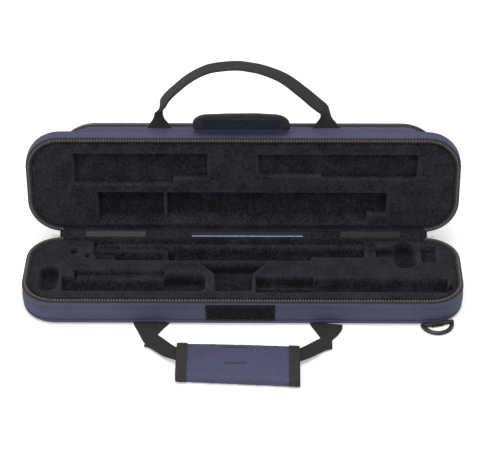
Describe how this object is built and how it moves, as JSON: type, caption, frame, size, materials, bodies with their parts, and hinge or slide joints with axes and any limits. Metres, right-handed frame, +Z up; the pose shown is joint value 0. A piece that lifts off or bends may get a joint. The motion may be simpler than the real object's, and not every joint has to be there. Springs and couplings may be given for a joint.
{
  "type": "flute case",
  "caption": "Slim zipped case for a flute in joints, standing open: moulded plush inserts, a zipped pocket behind the lid, a closing flap, webbing handles and a padded grip.",
  "frame": {"origin": "middle of the base's flat underside", "axes": "+X along the case to the viewer's right, +Y from the front wall to the hinge, +Z up"},
  "size_m": [0.44, 0.2567, 0.2088],
  "materials": {
    "navy_cloth": "plain woven nylon",
    "plush": "short pile plush",
    "board": "matte board",
    "zip_tape": "knitted tape",
    "zip_coil": "satin coil",
    "hook_and_loop": "hook and loop tape",
    "webbing": "ribbed webbing",
    "binding": "grosgrain binding",
    "black_metal": "black enamel"
  },
  "bodies": {
    "base": {"base_board": "board", "base_cover": "navy_cloth", "base_bottom_panel": "navy_cloth", "base_insert": "plush", "base_zip_tape": "zip_tape", "base_zip_chain": "zip_coil", "loop_patch": "hook_and_loop", "base_anchor_left": "webbing", "base_anchor_right": "webbing", "ring_tab_front": "webbing", "ring_tab_rear": "webbing", "hinge_cloth_base": "navy_cloth", "zip_end_left": "zip_tape", "zip_end_right": "zip_tape", "zip_slider_left": "black_metal", "zip_slider_right": "black_metal"},
    "lid": {"lid_board": "board", "lid_cover": "navy_cloth", "lid_insert": "plush", "lid_zip_tape": "zip_tape", "lid_zip_chain": "zip_coil", "hinge_cloth_lid": "navy_cloth", "pocket_floor": "navy_cloth", "pocket_gusset": "navy_cloth", "pocket_zip_tape": "zip_tape", "pocket_zip_chain": "zip_coil", "pocket_panel": "navy_cloth", "lid_anchor_left": "webbing", "lid_anchor_right": "webbing", "flap_root": "navy_cloth"},
    "flap": {"flap_panel": "navy_cloth", "flap_binding": "binding", "flap_hook_strip": "hook_and_loop"},
    "lid_handle": {"lid_handle_strap": "webbing"},
    "base_handle": {"base_handle_strap": "webbing", "grip_top_leaf": "navy_cloth", "grip_top_bindings": "binding", "grip_hook_strip": "hook_and_loop"},
    "grip_leaf": {"grip_lower_leaf": "navy_cloth", "grip_lower_bindings": "binding", "grip_loop_strip": "hook_and_loop"},
    "ring_front": {"ring_front": "black_metal"},
    "ring_rear": {"ring_rear": "black_metal"},
    "zip_pull_left": {"zip_pull_left": "black_metal"},
    "zip_pull_right": {"zip_pull_right": "black_metal"},
    "pocket_slider": {"pocket_slider": "black_metal"},
    "pocket_pull": {"pocket_pull": "black_metal"}
  },
  "joints": [
    {"name": "lid_hinge", "type": "hinge", "parent": "base", "child": "lid", "pos_m": [0, 0.0565, 0.031], "axis": [1, 0, 0], "range_deg": [-47, 96]},
    {"name": "flap_hinge", "type": "hinge", "parent": "lid", "child": "flap", "pos_m": [-0.0015, 0.08481, 0.14245], "axis": [1, 0, 0], "range_deg": [-120, 53]},
    {"name": "lid_handle_swing", "type": "hinge", "parent": "lid", "child": "lid_handle", "pos_m": [0, 0.09545, 0.14807], "axis": [-1, 0, 0], "range_deg": [-68, 68]},
    {"name": "base_handle_swing", "type": "hinge", "parent": "base", "child": "base_handle", "pos_m": [-0.003, -0.058, 0.001], "axis": [-1, 0, 0], "range_deg": [0, 70]},
    {"name": "grip_leaf_hinge", "type": "hinge", "parent": "base_handle", "child": "grip_leaf", "pos_m": [-0.003, -0.1037, 0.002], "axis": [1, 0, 0], "range_deg": [0, 88]},
    {"name": "ring_front_swing", "type": "hinge", "parent": "base", "child": "ring_front", "pos_m": [0.19294, -0.0534, 0.0031], "axis": [-0.9744, -0.225, 0], "range_deg": [0, 60]},
    {"name": "ring_rear_swing", "type": "hinge", "parent": "base", "child": "ring_rear", "pos_m": [-0.19294, 0.0534, 0.0031], "axis": [0.9744, 0.225, 0], "range_deg": [0, 60]},
    {"name": "zip_pull_left_swing", "type": "hinge", "parent": "base", "child": "zip_pull_left", "pos_m": [-0.164, 0.0601, 0.0207], "axis": [1, 0, 0], "range_deg": [0, 110]},
    {"name": "zip_pull_right_swing", "type": "hinge", "parent": "base", "child": "zip_pull_right", "pos_m": [0.164, 0.0601, 0.0207], "axis": [1, 0, 0], "range_deg": [0, 110]},
    {"name": "pocket_slider_slide", "type": "slide", "parent": "lid", "child": "pocket_slider", "axis": [0, 0.1045, 0.9945], "range_m": [-0.004, 0.016]},
    {"name": "pocket_pull_swing", "type": "hinge", "parent": "pocket_slider", "child": "pocket_pull", "pos_m": [0.20695, 0.09416, 0.07651], "axis": [0, -0.9945, 0.1045], "range_deg": [0, 110]}
  ]
}
